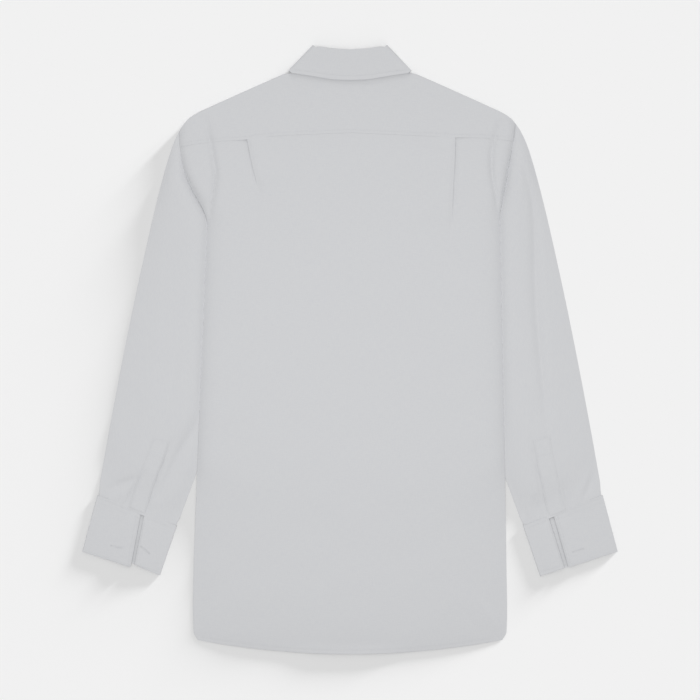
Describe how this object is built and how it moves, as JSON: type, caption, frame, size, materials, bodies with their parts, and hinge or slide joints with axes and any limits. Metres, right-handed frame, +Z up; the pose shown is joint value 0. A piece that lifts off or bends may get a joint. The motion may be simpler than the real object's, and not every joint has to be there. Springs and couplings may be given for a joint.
{
  "type": "long sleeve dress shirt",
  "caption": "White long sleeve dress shirt laid face down and flat, with a back yoke, knife pleats, a turn-down collar and double cuffs.",
  "frame": {"origin": "middle of the shirt's box on the surface it lies on", "axes": "+Y from the hem to the collar, +X to the wearer's right, +Z up from the surface, through the back of the shirt"},
  "size_m": [0.7492, 0.8508, 0.0121],
  "materials": {
    "cotton": "fine white cotton poplin, pressed, with a faint sheen",
    "button": "white polished shirt buttons"
  },
  "bodies": {
    "root": {"back_panel": "cotton", "yoke": "cotton", "front_left": "cotton", "front_right": "cotton", "front_placket": "cotton", "collar_leaf": "cotton", "collar_stand": "cotton", "sleeve_left": "cotton", "sleeve_right": "cotton", "sleeve_placket_left": "cotton", "sleeve_placket_right": "cotton", "cuff_left": "cotton", "cuff_right": "cotton", "button_collar": "button", "button_front_1": "button", "button_front_2": "button", "button_front_3": "button", "button_front_4": "button", "button_front_5": "button", "button_front_6": "button", "button_front_7": "button"}
  },
  "joints": []
}
